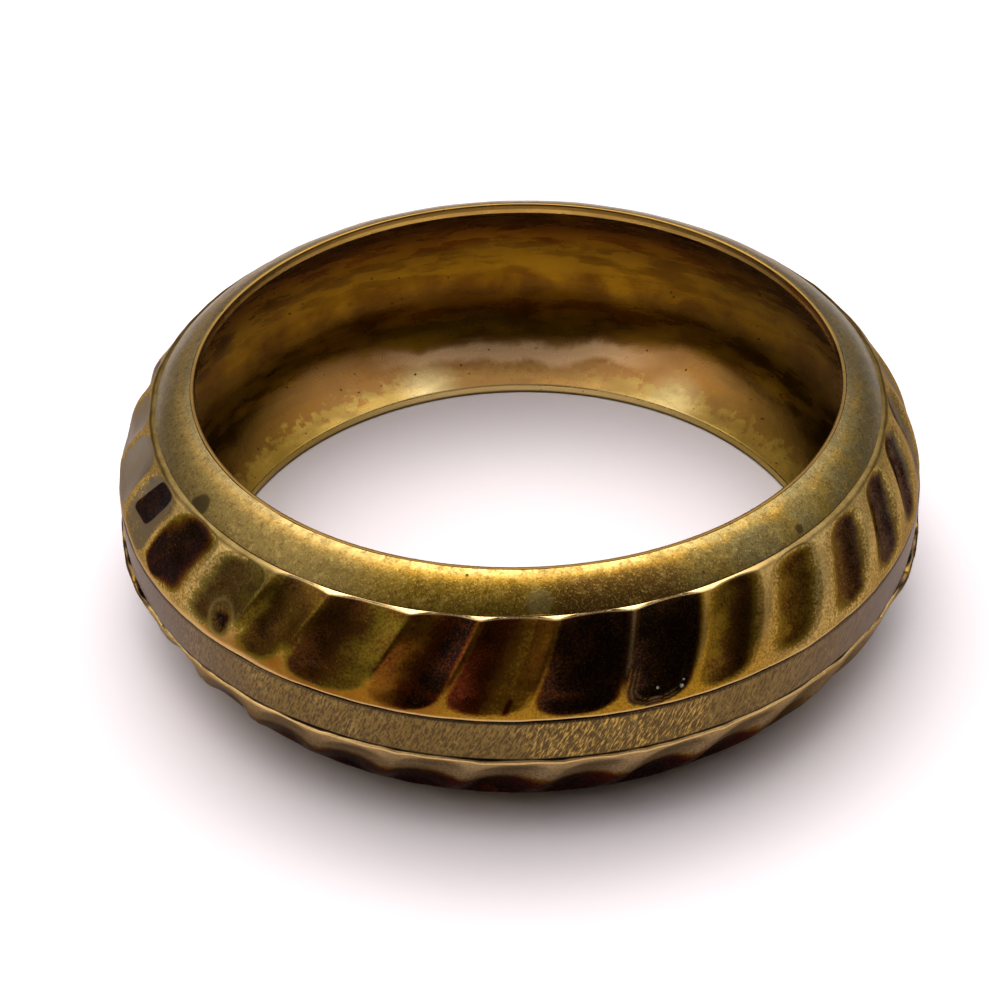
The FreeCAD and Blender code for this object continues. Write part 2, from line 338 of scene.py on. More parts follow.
def lower_field(theta, r, z):
    """The same for the lower band, which is an upper one turned over."""
    along = band_along(r, WIDTH - z)
    return along, *flute_field(-theta, along, -LOWER_FIRST, False, 12, 0.4)


def band_loop():
    """Cross-section of the upper fluted band."""
    back_foot, back_top = (BAND_BACK_FOOT, MID + BAND_FOOT), (BAND_BACK_TOP, MID + BAND_TOP)
    seam = (SEAM, MID + SEAM_RISE - UNDER_COLLAR)
    return section([
        line_points(back_foot, BAND_EDGE, 5),
        arc_points(BAND_EDGE, BAND_LEDGE, CROWN_RADIUS, 68),
        line_points(BAND_LEDGE, seam, 8),
        line_points(seam, back_top, 5),
        arc_points(back_top, back_foot, BACK_RADIUS, 8),
    ], [0.34, 0.2, 0, 0, 0])


def spot(theta, along, at_theta, at_along, reach):
    """1 in the middle of a round spot on the band, falling away past its reach."""
    across = np.radians(theta - at_theta) * BAND_MEAN
    return np.exp(-(across ** 2 + (along - at_along) ** 2) / reach ** 2)


def crown_depth(theta, r, z, own_z, dish, seed):
    """How deep the outside is pressed in: the scoops and some unevenness. own_z is the
    height with the band standing as the upper one does."""
    ledge_share = np.clip((r - SEAM) / LEDGE, 0, 1)
    depth = FLUTE_DEPTH * dish * ledge_share
    depth -= waves(theta, z, 0.03, 9.0, 14, seed) * ledge_share
    return depth * smooth(*SKIN, np.hypot(r - CROWN_CENTRE[0], own_z - CROWN_CENTRE[1]))


def pressed_in(depth, along, normal):
    """The move in r and z that sinks the crown by a depth, level near the ledge."""
    level = smooth(BAND_LENGTH - 2.2, BAND_LENGTH - 0.3, along)
    return -depth * (normal[:, 0] * (1 - level) + 1.15 * level), -depth * normal[:, 1] * (1 - level)


def upper_shift(theta, r, z, normal):
    """The scoops of the upper band, and its dent."""
    along, dish, *_ = upper_field(theta, r, z)
    depth = crown_depth(theta, r, z, z, dish, 3)
    # The dent is a small hollow with a raised ring round it.
    depth += (0.60 * spot(theta, along, *DENT, 1.0) - 0.34 * spot(theta, along, *DENT, 1.5)) * (r > 38)
    return pressed_in(depth, along, normal)


def lower_shift(theta, r, z, normal):
    """The scoops of the lower band, and the way its edge hangs off the belt."""
    along, dish, _, side, _ = lower_field(theta, r, z)
    move_r, move_z = pressed_in(crown_depth(theta, r, z, WIDTH - z, dish, 5), along, normal)
    away = np.abs(theta)
    outside = r > 38.5
    # The band's edge hangs a little away from the belt, most at its crests and at both sides.
    sag = 0.06 + 0.13 * np.clip(np.abs(side), 0, 1) ** 4 + waves(theta, r, 0.06, 7.0, 12, 6)
    sag = np.maximum(sag, 0) * (1 + 1.0 * smooth(42, 62, away) * smooth(130, 110, away))
    move_z -= sag * smooth(2.0, 0.2, along) * outside
    # At both sides it also swells out past the belt.
    swell = smooth(58, 68, away) * smooth(125, 110, away)
    move_r += 0.42 * swell * smooth(5.0, 1.2, along) * outside
    return move_r, move_z


# Looks of single scoops near the front, by number: darkness at the left and the right
# side, then how red and how green the stain is, and how strong the painted grey reflection is.
SCOOP_LOOKS = {
    -9: (0.40, 0.55, 0.1, 0.1, 0.8),
    -8: (0.42, 0.50, 0.1, 0.1, 0.9),
    -7: (0.36, 0.36, 0.1, 0.1, 0.9),
    -6: (1.02, 0.98, 0.3, 0.4, 0.0),
    -5: (0.72, 0.58, 0.1, 0.6, 0.10),
    -4: (0.80, 0.70, 0.1, 0.5, 0.0),
    -3: (0.82, 0.52, 0.4, 0.6, 0.0),
    -2: (0.46, 0.98, 0.9, 0.1, 0.0),
    -1: (0.78, 0.28, 1.0, 0.1, 0.0),
    0: (0.92, 1.00, 0.4, 0.0, 0.0),
    1: (1.00, 0.98, 0.2, 0.0, 0.0),
    2: (0.54, 0.86, 0.2, 0.2, 0.0),
    3: (0.54, 0.66, 0.2, 0.2, 0.0),
    4: (0.60, 0.86, 0.1, 0.1, 0.1),
    5: (0.70, 0.84, 0.1, 0.0, 0.2),
    6: (0.70, 0.80, 0.1, 0.0, 0.3),
    7: (0.66, 0.60, 0.0, 0.0, 0.5),
    8: (0.42, 0.44, 0.0, 0.0, 0.9),
    9: (0.46, 0.40, 0.0, 0.0, 0.9),
}
# The same for the rest, drawn from these ranges.
OTHER_LOOKS = ((0.5, 0.8), (0.5, 0.85), (0.1, 0.5), (0.0, 0.4), (0.0, 0.5))
LACQUER_BEADS = ((0.66, 0.035), (0.80, 0.045), (0.95, 0.035))   # reach and width of each ridge


def scoop_stain(number, side, own, seed):
    """Darkness, red and green of the stain in the scoop of each point, and its painted grey reflection.
    """
    draw = np.random.default_rng(seed)
    looks = np.column_stack([draw.uniform(low, high, FLUTES) for low, high in OTHER_LOOKS])
    for scoop, look in own.items():
        looks[scoop + HALF] = look
    look = looks[number + HALF]
    right = smooth(-0.45, 0.45, side)
    return look[..., 0] * (1 - right) + look[..., 1] * right, look[..., 2], look[..., 3], look[..., 4]


def crest_stain(number, side, along, own):
    """Stain that runs over the crest nearest to each point."""
    crests = np.full(FLUTES + 1, OTHER_STAIN)
    for crest, amount in own.items():
        crests[crest + HALF] = amount
    nearest = np.where(side < 0, crests[number + HALF], crests[number + HALF + 1])
    return nearest * smooth(1.5, 3.8, along)


def ledge_line(along):
    """1 on the sharp edge where the crown meets the ledge."""
    return smooth(BAND_LENGTH - 0.16, BAND_LENGTH - 0.04, along)


def upper_masks(theta, r, z):
    """Stain, painted shade, painted grey reflection, wear and lacquer of the upper band."""
    along, _, reach, side, number = upper_field(theta, r, z)
    dark, red, green, grey_reflection = scoop_stain(number, side, SCOOP_LOOKS, 61)
    over = crest_stain(number, side, along, CREST_STAIN)
    front = smooth(34, 26, np.abs(theta + 3))
    crisp = np.maximum(front, smooth(-56, -60, theta))
    stain_and_shade = dark * smooth(1.05, 0.36 + 0.46 * crisp, reach)
    stain_and_shade = np.maximum(stain_and_shade, over * (reach > 0.5))

    # A dark patch like a small plate, in line with the crests beside it.
    turned = theta + CREST_LEAN * (1 - along / BAND_LENGTH)
    up = along - PLATE[1]
    across = turned - PLATE[0] - PLATE_SLANT * up
    outline = np.abs(across / PLATE_HALF) ** PLATE_POWER + np.abs(up / PLATE_HALF) ** PLATE_POWER
    plate = smooth(1.30, 0.80, outline)
    stain_and_shade = np.maximum(stain_and_shade, 1.04 * plate)
    grey_reflection = grey_reflection * (1 - plate)
    green = np.maximum(green, 0.7 * plate)

    # A short dark red slit at the foot of the scoop in front, only painted: its dark is painted shade.
    slit_shade = np.exp(-((theta - SLIT[0] - (along - SLIT[1]) * 0.6) / 0.50) ** 2) * smooth(2.6, 1.9, along)
    slit_shade = slit_shade * smooth(0.6, 0.8, along)
    stain_and_shade = np.maximum(stain_and_shade, 0.80 * slit_shade)
    red = np.maximum(red, slit_shade)

    # The dent's dark middle and the worn ring round it, then the worn crest between scoops 0 and 1.
    stain_and_shade = np.maximum(stain_and_shade, 1.15 * spot(theta, along, *DENT_STAIN, 1.25))
    from_dent = np.hypot(np.radians(theta - DENT[0]) * BAND_MEAN, along - DENT[1])
    burr = 0.16 * np.exp(-((from_dent - DENT_RING) / 0.2) ** 2)
    from_join = np.where(number == 0, 1 - side, np.where(number == 1, 1 + side, 9))
    burr = burr + 0.5 * np.exp(-(from_join / 0.045) ** 2) * smooth(3.2, 4.6, along)

    # Ridges of dried lacquer low in scoop 1.
    lacquer = np.zeros_like(stain_and_shade)
    lower_left = (number == 1) * smooth(4.6, 3.2, along) * smooth(0.75, 0.3, side)
    for at, width in LACQUER_BEADS:
        lacquer = np.maximum(lacquer, np.exp(-((reach - at) / width) ** 2) * lower_left)

    # Worn metal: the foot, wider at the left, the ledge in front, and the crests.
    left = smooth(-28, -42, theta) * smooth(-100, -88, theta)
    foot = smooth(0.42 + 0.50 * left, 0.22, along)
    ledge = ledge_line(along)
    aside = smooth(30, 44, np.abs(theta))
    stain_and_shade = np.maximum(stain_and_shade, 0.22 * ledge * aside)
    grey_reflection = grey_reflection * (1 - ledge)
    crest = 0.25 * smooth(0.92, 1.1, reach) * smooth(2.5, 4.5, along) * smooth(0.35, 0.15, over)
    crest = np.maximum(crest * (1 - ledge), burr)
    return {"stain_and_shade": stain_and_shade, "red": red, "green": green, "grey_reflection": grey_reflection, "lacquer": lacquer,
            "wear": np.maximum(np.maximum(foot, ledge * (1 - aside)), crest)}


def lower_masks(theta, r, z):
    """Stain, painted shade, painted grey reflection and wear of the lower band."""
    along, _, reach, side, number = lower_field(theta, r, z)
    away = np.abs(theta)
    front = smooth(60, 25, away)
    flank = smooth(60, 67, away) * smooth(115, 106, away)
    # The scoops' stain, deepest in front, where part of it is painted shade.
    dark = scoop_stain(number, side, {}, 62)[0]
    dark = dark * (1 - front) + 1.05 * front
    dark = dark * (0.62 + 0.38 * smooth(26, 10, away)) * smooth(2.4, 4.8, along)
    stain_and_shade = dark * smooth(1.12, 0.268, reach)
    stain_and_shade = np.maximum(stain_and_shade, crest_stain(number, side, along, {}) * (reach > 0.5))
    # Both sides are dark nearly right across, and the front is darkened underneath with painted shade.
    streak = (0.36 + 0.60 * smooth(0.92, 0.62, np.abs(side))) * smooth(8.4, 7.0, along)
    stain_and_shade = stain_and_shade * (1 - flank) + streak * flank
    shade_underneath = smooth(2.6, 5.0, along) * front * (1 - 0.22 * np.abs(side) ** 3)
    stain_and_shade = np.maximum(stain_and_shade * (1 - 0.35 * front), 0.92 * shade_underneath)
    foot = smooth(0.42, 0.22, along) * (0.15 + 0.85 * smooth(46, 32, away))
    crest = 0.30 * smooth(2.6, 1.2, along) * smooth(0.7, 1.1, reach) * (1 - flank)
    return {"stain_and_shade": stain_and_shade, "red": 0.6 - 0.45 * flank, "green": np.zeros_like(stain_and_shade),
            "grey_reflection": 0.8 * (1 - front) * (1 - flank), "lacquer": np.zeros_like(stain_and_shade),
            "wear": np.maximum(np.maximum(foot, ledge_line(along)), crest)}


BAND_COLUMNS = FLUTES * 44
upper_band = ring("upper_band_surface", band_loop(), BAND_COLUMNS, upper_shift, upper_masks)
lower_band = ring("lower_band_surface", flip(band_loop()), BAND_COLUMNS, lower_shift, lower_masks)


# ------------------------------------------------------------------ collars, belt, liner
PLAIN_COLUMNS = 1080
BELT_COLUMNS = 1260


def collar_loop():
    """Cross-section of the upper collar."""
    seam, rim = (SEAM, MID + SEAM_RISE), (LIP_BACK + 0.02, WIDTH - 0.01)
    back, rim_back = (COLLAR_BACK, MID + SEAM_RISE), (LIP_BACK + 0.02, MID + COLLAR_BACK_RISE)
    return section([
        arc_points(seam, rim, COLLAR_RADIUS, 30),
        line_points(rim, rim_back, 8),
        arc_points(rim_back, back, BACK_RADIUS, 6),
        line_points(back, seam, 8),
    ], [0.05, 0, 0, 0.08])


def along_normal(push):
    """A shift that pushes points along the normal by push(theta, r, z) mm."""
    def shift(theta, r, z, normal):
        amount = push(theta, r, z)
        return amount * normal[:, 0], amount * normal[:, 1]
    return shift


def collar_shift(seed):
    """Slight unevenness all over a collar."""
    return along_normal(lambda theta, r, z: waves(theta, r, 0.02, 12.0, 10, seed))


upper_collar = ring("upper_collar_surface", collar_loop(), PLAIN_COLUMNS, collar_shift(21))
lower_collar = ring("lower_collar_surface", flip(collar_loop()), PLAIN_COLUMNS, collar_shift(22))


def belt_loop():
    """Cross-section of the belt, slightly crowned."""
    low, high = MID - BELT_HALF, MID + BELT_HALF
    edge = BELT_EDGE - 0.08
    return section([
        line_points((BELT_BACK, low), (edge, low), 6),
        arc_points((edge, low), (edge, high), BELT_CROWN, 28),
        line_points((edge, high), (BELT_BACK, high), 6),
        line_points((BELT_BACK, high), (BELT_BACK, low), 4),
    ], [0.22, 0.22, 0, 0])


def belt_push(theta, r, z):
    """Slight unevenness of the belt's outside."""
    return waves(theta, z, 0.015, 14.0, 10, 31) * smooth(39.6, 40.0, r)


belt = ring("belt_surface", belt_loop(), BELT_COLUMNS, along_normal(belt_push))


def liner_loop():
    """Cross-section of the liner: a lip at each rim and a hollow barrel between."""
    lip_top = WIDTH - LIP_HEIGHT
    return section([
        line_points((INNER, 0), (LIP_BACK, 0), 4),
        line_points((LIP_BACK, 0), (LIP_BACK, LIP_HEIGHT), 5),
        arc_points((LIP_BACK, LIP_HEIGHT), (LIP_BACK, lip_top), BACK_RADIUS, 20),
        line_points((LIP_BACK, lip_top), (LIP_BACK, WIDTH), 5),
        line_points((LIP_BACK, WIDTH), (INNER, WIDTH), 4),
        line_points((INNER, WIDTH), (INNER, lip_top), 8),
        arc_points((INNER, lip_top), (INNER, LIP_HEIGHT), BARREL_RADIUS, 90),
        line_points((INNER, LIP_HEIGHT), (INNER, 0), 8),
    ], [0.04, 0, 0, 0.04, 0.2, 0.10, 0.22, 0.2])


def liner_push(theta, r, z):
    """Unevenness of the hollow wall, away from the lips."""
    middle = smooth(9.0, 6.0, np.abs(z - MID))
    return waves(theta, z, 0.04, 16.0, 12, 41) * middle * (r < 38.7)


liner = ring("liner_surface", liner_loop(), PLAIN_COLUMNS, along_normal(liner_push))


# ------------------------------------------------------------------ shader building
class Nodes:
    """A node tree written as plain expressions: arguments are sockets, numbers or tuples."""

    def __init__(self, tree):
        self.tree = tree
        tree.nodes.clear()

    def make(self, kind, inputs=None, **settings):
        node = self.tree.nodes.new(kind)
        for name, value in settings.items():
            setattr(node, name, value)
        for name, value in (inputs or {}).items():
            socket = node.inputs[name]
            if isinstance(value, bpy.types.NodeSocket):
                self.tree.links.new(value, socket)
            else:
                socket.default_value = value
        return node

    def math(self, operation, a, b=0.0, c=0.0):
        return self.make("ShaderNodeMath", {0: a, 1: b, 2: c}, operation=operation).outputs[0]

    def mul(self, a, b):
        return self.math("MULTIPLY", a, b)

    def add(self, a, b):
        return self.math("ADD", a, b)

    def less(self, a, b):
        """a less b."""
        return self.math("SUBTRACT", a, b)

    def most(self, a, b):
        return self.math("MAXIMUM", a, b)

    def size(self, a):
        """The value without its sign."""
        return self.math("ABSOLUTE", a)

    def step(self, low, high, value, to_low=0.0, to_high=1.0):
        """Smooth step from to_low at low to to_high at high."""
        node = self.make("ShaderNodeMapRange", {"Value": value, "From Min": low, "From Max": high,
                                                "To Min": to_low, "To Max": to_high})
        node.interpolation_type = "SMOOTHSTEP"
        return node.outputs[0]

    def noise(self, vector, scale, detail=4.0, rough=0.55, distort=0.0):
        node = self.make("ShaderNodeTexNoise", {"Vector": vector, "Scale": scale, "Detail": detail,
                                                "Roughness": rough, "Distortion": distort})
        return node.outputs["Fac"]

    def scale(self, vector, factors):
        node = self.make("ShaderNodeVectorMath", {0: vector, 1: factors}, operation="MULTIPLY")
        return node.outputs[0]

    def mix(self, factor, a, b):
        """Colour a where the factor is 0, and b where it is 1."""
        node = self.make("ShaderNodeMix", data_type="RGBA")
        for index, value in ((0, factor), (6, a), (7, b)):
            socket = node.inputs[index]
            if isinstance(value, bpy.types.NodeSocket):
                self.tree.links.new(value, socket)
            else:
                socket.default_value = value if index == 0 else (*value, 1.0)
        return node.outputs[2]

    def attribute(self, name):
        return self.make("ShaderNodeAttribute", attribute_name=name).outputs["Fac"]

    def part(self, vector, index):
        return self.make("ShaderNodeSeparateXYZ", {0: vector}).outputs[index]

    def place(self):
        """Object position in millimetres, the angle round the ring in degrees, and the height."""
        raw = self.make("ShaderNodeTexCoord").outputs["Object"]
        where = self.scale(raw, (1 / MM, 1 / MM, 1 / MM))
        parts = self.make("ShaderNodeSeparateXYZ", {0: where}).outputs
        back = self.mul(parts[1], -1.0)
        angle = self.mul(self.math("ARCTAN2", parts[0], back), 180 / math.pi)
        return where, angle, parts[2]

    def twist(self, where, degrees):
        """Turn positions round Z, by so many degrees for each 6 mm of height, so that
        upright strokes lean."""
        turned = self.mul(self.part(where, 2), math.radians(degrees) / 6)
        node = self.make("ShaderNodeVectorRotate", {"Vector": where, "Angle": turned},
                         rotation_type="Z_AXIS")
        return node.outputs[0]

    def window(self, value, centre, reach, soft):
        """1 within reach of the centre, falling to 0 over the soft width."""
        return self.step(reach + soft, reach, self.size(self.less(value, centre)))

    def near(self, where, theta, radius, rise, reach, soft):
        """1 within reach mm of a place on the ring, falling to 0 over soft mm."""
        at = math.radians(theta)
        place = (radius * math.sin(at), -radius * math.cos(at), MID + rise)
        node = self.make("ShaderNodeVectorMath", {0: where, 1: place}, operation="DISTANCE")
        return self.step(reach + soft, reach, node.outputs["Value"])

    def near_any(self, where, places):
        """The same for the nearest of some places."""
        total = self.near(where, *places[0])
        for place in places[1:]:
            total = self.most(total, self.near(where, *place))
        return total


def metal(name, build, coat=0.10, coat_rough=0.12, edge=(1.0, 1.0, 1.0)):
    """A metal material; build(nodes) gives colour, roughness and height in mm, and edge
    tints what it reflects at a grazing angle."""
    material = bpy.data.materials.new(name)
    material.use_nodes = True
    nodes = Nodes(material.node_tree)
    colour, roughness, height = build(nodes)
    bump = nodes.make("ShaderNodeBump", {"Height": height, "Strength": 1.0, "Distance": MM})
    shader = nodes.make("ShaderNodeBsdfPrincipled", {
        "Base Color": colour, "Roughness": roughness, "Metallic": 1.0,
        "Coat Weight": coat, "Coat Roughness": coat_rough, "Coat IOR": 1.5,
        "Specular Tint": (*edge, 1.0),
        "Normal": bump.outputs[0], "Coat Normal": bump.outputs[0]})
    output = nodes.make("ShaderNodeOutputMaterial")
    material.node_tree.links.new(shader.outputs[0], output.inputs[0])
    return material


# ------------------------------------------------------------------ brass
# Linear colours of the old brass, from clean metal to the deepest stain.
CREAM = (0.66, 0.47, 0.22)
GOLD = (0.37, 0.205, 0.016)
OLIVE = (0.185, 0.115, 0.007)
UMBER = (0.205, 0.078, 0.005)
BROWN = (0.075, 0.028, 0.003)
BLACK = (0.012, 0.004, 0.002)
RED = (0.110, 0.018, 0.002)
GREEN = (0.120, 0.108, 0.008)
GREY_REFLECTION = (0.165, 0.152, 0.120)
SILVER_REFLECTION = (0.28, 0.262, 0.225)
PLUM = (0.060, 0.034, 0.028)

# Small places on the ring: angle, radius, rise, reach and softness.
# Painted highlights on the dried lacquer.
LACQUER_PAINTED_GLINTS = ((20.3, 39.75, 3.7, 0.18, 0.12), (17.2, 39.55, 3.9, 0.10, 0.08),
                  (20.6, 39.75, 4.3, 0.08, 0.06))
COLLAR_MARKS = ((-55.5, 35.2, 10.8, 0.85, 0.35), (-56.6, 35.5, 10.6, 0.50, 0.40),
                (45, 35.2, 10.9, 0.30, 0.30), (-8, 32.9, 12.5, 0.10, 0.10),
                (-33, 34.6, 11.3, 0.10, 0.12), (27, 34.9, 11.1, 0.14, 0.15),
                (36, 33.9, 11.8, 0.10, 0.12), (-71, 33.6, 12.0, 0.12, 0.12))
COLLAR_BLOOM = (2.6, 34.8, 11.2, 0.9, 0.5)
# Two painted highlights in the liner's cove.
LINER_PAINTED_HIGHLIGHTS = ((-161.0, 31.9, -10.7, 0.8, 4.0), (146.0, 31.9, -10.7, 0.8, 4.0))


def fluted_brass(n):
    """Brass stained olive, red and black, with painted shade, painted grey reflection and pale wear."""
    where, angle, height = n.place()
    names = ("stain_and_shade", "red", "green", "grey_reflection", "wear")
    stain_and_shade, red, green, grey_reflection, wear = (n.attribute(name) for name in names)
    grain = n.noise(where, 4.2, 3.0, 0.6)
    cloud = n.noise(where, 0.55, 4.0)
    speck = n.noise(where, 7.5, 2.0, 0.5)
    away = n.size(angle)
    sides = n.step(24.0, 44.0, away)

    # How deep the stain and painted shade are, broken up by the grain and clouds, most where there is
    # stain or shade.
    uneven = n.add(n.mul(n.less(cloud, 0.5), 0.55), n.mul(n.less(grain, 0.5), 0.75))
    amount = n.add(stain_and_shade, n.mul(uneven, n.step(0.0, 0.25, stain_and_shade, 0.25, 1.0)))

    # Unstained metal: gold in front and worn elsewhere, then the paler lower band, then the
    # brown foot at the left of the front.
    gold = n.mix(n.step(0.42, 0.60, grain), GOLD, (0.25, 0.145, 0.012))
    worn = n.mix(n.step(0.36, 0.64, grain), (0.54, 0.385, 0.14), (0.25, 0.165, 0.045))
    worn = n.mix(n.step(0.40, 0.70, cloud, 0.0, 0.6), worn, (0.37, 0.260, 0.09))
    light = n.mix(sides, gold, worn)
    lower = n.mix(n.step(0.40, 0.60, grain), (0.36, 0.27, 0.16), (0.24, 0.17, 0.09))
    light = n.mix(n.step(MID - BELT_HALF, MID - BELT_HALF - 1, height), light, lower)
    mottle = n.add(n.mul(grain, 0.4), n.mul(cloud, 0.6))
    tanned = n.mul(n.window(angle, -28.0, 14.0, 8.0), n.step(MID + 5.4, MID + 3.6, height))
    tanned = n.mul(tanned, n.step(MID, MID + 0.5, height))
    tanned = n.mul(tanned, n.step(0.40, 0.60, mottle, 1.0, 0.50))
    light = n.mix(tanned, light, (0.25, 0.105, 0.010))

    # Stain and painted shade, from olive through brown to black.
    olive = n.mix(green, n.mix(red, OLIVE, UMBER), GREEN)
    brown = n.mix(red, n.mix(green, BROWN, (0.07, 0.045, 0.003)), RED)
    brown = n.mix(n.step(48.0, 60.0, angle, 0.0, 0.85), brown, PLUM)
    colour = n.mix(n.step(0.08, 0.42, amount), light, olive)
    colour = n.mix(n.step(0.40, 0.72, amount), colour, brown)
    colour = n.mix(n.step(0.72, 1.05, amount), colour, BLACK)

    # Painted grey reflection in the scoops, silvery at the left and right.
    flank = n.mul(n.step(70.0, 76.0, away), n.step(108.0, 100.0, away))
    half_stained = n.mul(n.step(0.15, 0.4, amount), n.step(0.85, 0.6, amount))
    colour = n.mix(n.mul(grey_reflection, half_stained), colour, n.mix(flank, GREY_REFLECTION, SILVER_REFLECTION))

    # Specks, worn edges, and the dull top edge away from the front.
    colour = n.mix(n.mul(n.step(0.58, 0.74, speck), 0.5), colour, OLIVE)
    colour = n.mix(n.mul(wear, n.step(0.25, 0.6, grain, 0.6, 1.0)), colour, CREAM)
    shelf = n.mul(n.step(MID + BAND_TOP - 0.30, MID + BAND_TOP - 0.05, height), sides)
    dull = n.mix(n.step(0.35, 0.65, cloud), (0.165, 0.118, 0.045), (0.120, 0.082, 0.026))
    colour = n.mix(n.mul(shelf, 0.9), colour, dull)

    # Dried lacquer with three small painted highlights on it.
    lacquer = n.mul(n.attribute("lacquer"), n.step(0.36, 0.58, cloud, 0.25, 1.0))
    colour = n.mix(n.mul(lacquer, 0.55), colour, (0.22, 0.13, 0.04))
    colour = n.mix(n.near_any(where, LACQUER_PAINTED_GLINTS), colour, (0.90, 0.84, 0.66))

    rough = n.add(n.mul(grain, 0.14), n.step(0.1, 0.7, amount, 0.30, 0.20))
    bumps = n.add(n.mul(lacquer, 0.09), n.add(n.mul(grain, 0.014), n.mul(cloud, 0.03)))
    return colour, rough, bumps


def collar_brass(n):
    """Satin brass, pale at the rim and olive towards the seam, with freckles and spots."""
    where, angle, _ = n.place()
    across, deep = n.math("POWER", n.part(where, 0), 2.0), n.math("POWER", n.part(where, 1), 2.0)
    radius = n.math("SQRT", n.add(across, deep))
    cloud = n.noise(where, 0.30, 5.0, 0.6)
    grain = n.noise(where, 4.5, 4.0, 0.65)
    fine = n.noise(where, 8.0, 2.0, 0.6)
    blotch = n.noise(where, 1.1, 3.0, 0.55)
    speck = n.noise(where, 2.6, 3.0, 0.6)
    scratch = n.noise(n.scale(n.twist(where, 14.0), (6.0, 6.0, 1.2)), 1.0, 2.0)
    sides = n.step(28.0, 60.0, n.size(angle))
    right = n.mul(n.step(14.0, 34.0, angle), n.step(150.0, 100.0, angle))
    left = n.mul(n.step(-14.0, -30.0, angle), n.step(-120.0, -70.0, angle))

    # Ground colour, by distance from the rim.
    low = n.step(33.0, 34.6, n.add(radius, n.mul(cloud, 1.0)))
    clean = n.step(33.3, 32.5, n.add(radius, n.mul(n.less(cloud, 0.5), 0.6)))
    rim = n.mix(n.step(0.40, 0.60, cloud), (0.30, 0.205, 0.055), (0.50, 0.37, 0.13))
    # The rim is darker at the sides: painted shade.
    rim = n.mix(sides, rim, (0.21, 0.145, 0.045))
    colour = n.mix(clean, n.mix(low, GOLD, OLIVE), rim)

    # Greener at the right and the left, and a brown stretch right of the front.
    green = n.step(0.30, 0.66, cloud, 0.20, 0.80)
    colour = n.mix(n.mul(right, green), colour, (0.118, 0.104, 0.046))
    colour = n.mix(n.mul(left, 0.5), colour, (0.165, 0.132, 0.062))
    dim = n.mul(n.window(angle, 14.0, 7.0, 5.0), low)
    colour = n.mix(n.mul(dim, 0.7), colour, BROWN)

    # Blotches, specks, grain and scratches, dark and light, some weaker away from the front.
    strong = n.add(1.0, n.mul(sides, -0.5))
    patch = n.mul(n.step(0.50, 0.36, blotch), n.mul(strong, 0.40))
    colour = n.mix(patch, colour, (0.09, 0.055, 0.008))
    patch = n.mul(n.step(0.54, 0.68, blotch), n.mul(strong, 0.30))
    colour = n.mix(patch, colour, (0.40, 0.29, 0.09))
    colour = n.mix(n.mul(n.step(0.50, 0.68, speck), 0.50), colour, BROWN)
    faint_left = n.add(0.45, n.mul(left, -0.18))
    faint = n.add(0.60, n.add(n.mul(right, -0.35), n.mul(left, -0.28)))
    colour = n.mix(n.mul(n.step(0.46, 0.34, grain), faint_left), colour, (0.07, 0.05, 0.012))
    colour = n.mix(n.mul(n.step(0.52, 0.68, grain), faint), colour, (0.44, 0.29, 0.07))
    colour = n.mix(n.mul(n.step(0.60, 0.72, fine), faint_left), colour, (0.60, 0.46, 0.18))
    colour = n.mix(n.mul(n.step(0.64, 0.74, scratch), 0.30), colour, CREAM)

    # One pale bloom in front, then the dark marks.
    colour = n.mix(n.mul(n.near(where, *COLLAR_BLOOM), 0.45), colour, (0.24, 0.19, 0.08))
    for mark in COLLAR_MARKS:
        colour = n.mix(n.mul(n.near(where, *mark), 0.95), colour, (0.055, 0.034, 0.006))
    rough = n.add(n.mul(grain, 0.20), n.step(0.0, 1.0, low, 0.20, 0.30))
    return colour, rough, n.add(n.mul(grain, 0.02), n.mul(speck, 0.012))


def belt_brass(n):
    """Brass with slanting tool marks in front, plainer elsewhere, with a painted grey reflection at the
    sides.
    """
    where, angle, height = n.place()
    cloud = n.noise(where, 0.24, 4.0)
    strokes = n.noise(n.scale(n.twist(where, -3.6), (5.6, 5.6, 1.5)), 1.0, 2.5, 0.55)
    cross = n.noise(n.scale(n.twist(where, 5.0), (3.4, 3.4, 1.1)), 1.0, 2.0, 0.5)
    grain = n.noise(where, 6.0, 3.0, 0.6)
    sides = n.step(30.0, 62.0, n.size(angle))
    struck = n.most(n.window(angle, 7.0, 4.5, 4.0), n.window(angle, 18.5, 4.0, 3.0))
    struck = n.most(struck, n.step(0.50, 0.75, cloud, 0.15, 0.8))
    struck = n.mul(struck, n.add(1.0, n.mul(sides, -0.75)))
    in_front = n.add(1.0, n.mul(sides, -0.7))
    colour = n.mix(cloud, (0.165, 0.105, 0.026), (0.215, 0.150, 0.055))
    # Grey at the sides: a painted grey reflection.
    colour = n.mix(n.mul(sides, 0.9), colour, (0.165, 0.136, 0.126))

    # Dark strokes, bright strokes where the belt was struck, cross strokes and grain.
    dark = n.mul(n.step(0.52, 0.40, strokes), n.mul(in_front, 0.7))
    colour = n.mix(dark, colour, (0.07, 0.04, 0.02))
    colour = n.mix(n.mul(n.step(0.52, 0.64, strokes), struck), colour, (0.50, 0.33, 0.085))
    crossed = n.mul(n.step(0.60, 0.72, cross), n.mul(in_front, 0.5))
    colour = n.mix(crossed, colour, (0.34, 0.25, 0.10))
    colour = n.mix(n.mul(n.step(0.58, 0.72, grain), 0.3), colour, (0.42, 0.30, 0.12))

    # Darker along both edges, where the belt meets the bands.
    rise = n.size(n.less(height, MID))
    edges = n.mul(n.step(BELT_HALF - 0.30, BELT_HALF - 0.10, rise), 0.55)
    colour = n.mix(edges, colour, (0.07, 0.05, 0.035))
    return colour, n.add(n.mul(grain, 0.18), 0.30), n.add(n.mul(strokes, 0.05), n.mul(grain, 0.02))


